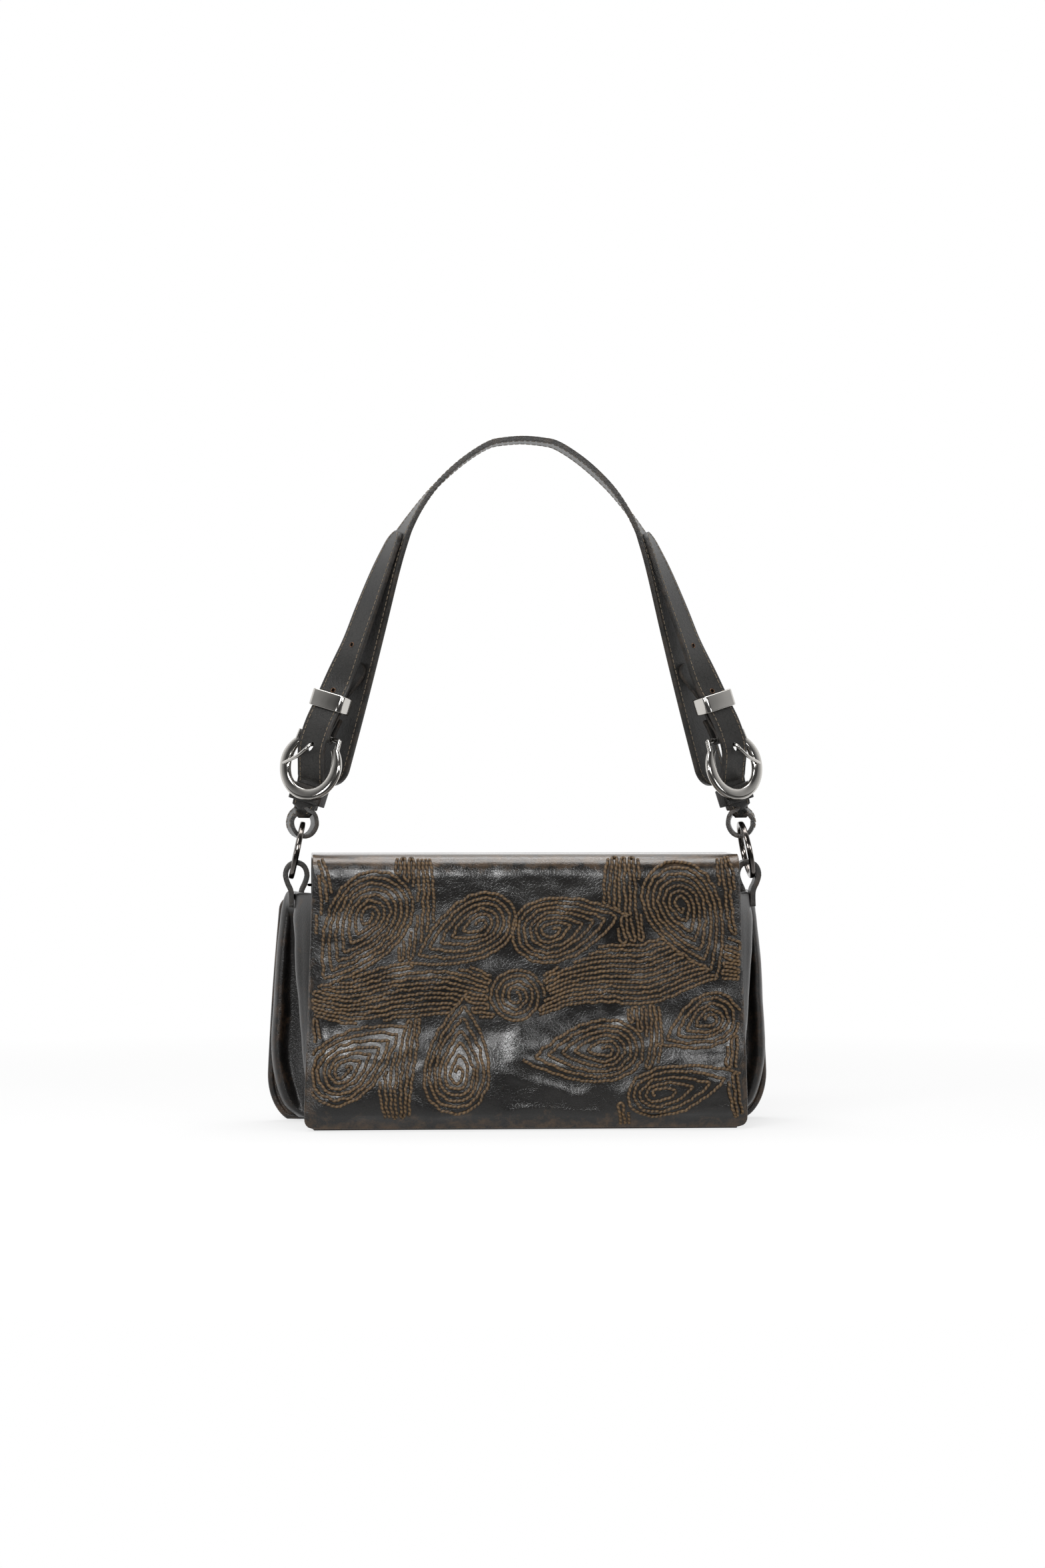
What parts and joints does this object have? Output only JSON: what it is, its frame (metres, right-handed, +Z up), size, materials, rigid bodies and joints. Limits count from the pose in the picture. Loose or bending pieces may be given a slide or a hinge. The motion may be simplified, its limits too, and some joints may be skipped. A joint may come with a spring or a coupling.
{
  "type": "flap shoulder bag",
  "caption": "Small black leather shoulder bag with a corded front flap, folded sides, a zip, rings and an arched buckled strap.",
  "frame": {"origin": "middle of the bounding box on the ground under the bag", "axes": "+Z up along the strap's arch, -Y out of the corded front flap, +X towards the right end as seen from the front"},
  "size_m": [0.277, 0.072, 0.3753],
  "materials": {
    "black_leather": "black waxed leather, crackled and rubbed brown along edges",
    "strap_leather": "black strap leather, satin, with tan stitching",
    "lining_cloth": "dark woven lining cloth",
    "grey_board": "plain stiffening board",
    "polished_nickel": "polished nickel plate",
    "black_nickel": "dark polished nickel plate",
    "bronze_cord": "twisted bronze-brown cord"
  },
  "bodies": {
    "bag_body": {"back_panel": "black_leather", "back_piping": "black_leather", "front_panel": "black_leather", "base_panel": "black_leather", "base_board": "grey_board", "gusset_left": "black_leather", "gusset_right": "black_leather", "lining": "lining_cloth", "top_panel_front": "black_leather", "top_panel_back": "black_leather", "zip_tape_front": "lining_cloth", "zip_tape_back": "lining_cloth", "zip_teeth_front": "black_nickel", "zip_teeth_back": "black_nickel", "zip_stop_left": "black_nickel", "zip_stop_right": "black_nickel", "magnet_socket": "black_nickel", "tab_left": "strap_leather", "tab_right": "strap_leather"},
    "shoulder_strap": {"strap": "strap_leather", "billet_left": "strap_leather", "billet_right": "strap_leather", "chape_left": "strap_leather", "chape_right": "strap_leather", "leather_band_left": "strap_leather", "leather_band_right": "strap_leather", "buckle_left": "polished_nickel", "buckle_right": "polished_nickel", "metal_keeper_left": "polished_nickel", "metal_keeper_right": "polished_nickel"},
    "ring_left": {"ring_left": "black_nickel"},
    "ring_right": {"ring_right": "black_nickel"},
    "flap_top": {"flap_top": "black_leather"},
    "flap_front": {"flap_front": "black_leather", "flap_lining": "lining_cloth", "magnet_stud": "black_nickel", "flap_cord_1": "bronze_cord", "flap_cord_2": "bronze_cord", "flap_cord_3": "bronze_cord", "flap_cord_4": "bronze_cord", "flap_cord_5": "bronze_cord"},
    "zip_slider": {"zip_slider": "black_nickel"},
    "zip_pull": {"zip_pull": "black_nickel"},
    "prong_left": {"prong_left": "polished_nickel"},
    "prong_right": {"prong_right": "polished_nickel"}
  },
  "joints": [
    {"name": "strap_swing", "type": "hinge", "parent": "bag_body", "child": "shoulder_strap", "pos_m": [0, 0, 0.15], "axis": [-1, 0, 0], "range_deg": [-15, 40]},
    {"name": "flap_top_lift", "type": "hinge", "parent": "bag_body", "child": "flap_top", "pos_m": [0, 0.034, 0.1458], "axis": [-1, 0, 0], "range_deg": [0, 10]},
    {"name": "flap_front_lift", "type": "hinge", "parent": "flap_top", "child": "flap_front", "pos_m": [0, -0.0315, 0.1482], "axis": [-1, 0, 0], "range_deg": [0, 110]},
    {"name": "ring_left_turn", "type": "hinge", "parent": "bag_body", "child": "ring_left", "pos_m": [-0.12305, 0, 0.15], "axis": [0.9781, 0, -0.2079], "continuous": true},
    {"name": "ring_right_turn", "type": "hinge", "parent": "bag_body", "child": "ring_right", "pos_m": [0.12305, 0, 0.15], "axis": [0.9781, 0, 0.2079], "continuous": true},
    {"name": "zip_slide", "type": "slide", "parent": "bag_body", "child": "zip_slider", "axis": [1, 0, 0], "range_m": [0, 0.213]},
    {"name": "zip_pull_flip", "type": "hinge", "parent": "zip_slider", "child": "zip_pull", "pos_m": [-0.10575, 0, 0.13105], "axis": [0, 1, 0], "range_deg": [0, 110]},
    {"name": "prong_left_lift", "type": "hinge", "parent": "shoulder_strap", "child": "prong_left", "pos_m": [-0.11057, -0.00593, 0.21219], "axis": [-0.8101, 0.5261, 0.2588], "range_deg": [0, 3]},
    {"name": "prong_right_lift", "type": "hinge", "parent": "shoulder_strap", "child": "prong_right", "pos_m": [0.11057, -0.00593, 0.21219], "axis": [-0.8101, -0.5261, -0.2588], "range_deg": [0, 3]}
  ]
}
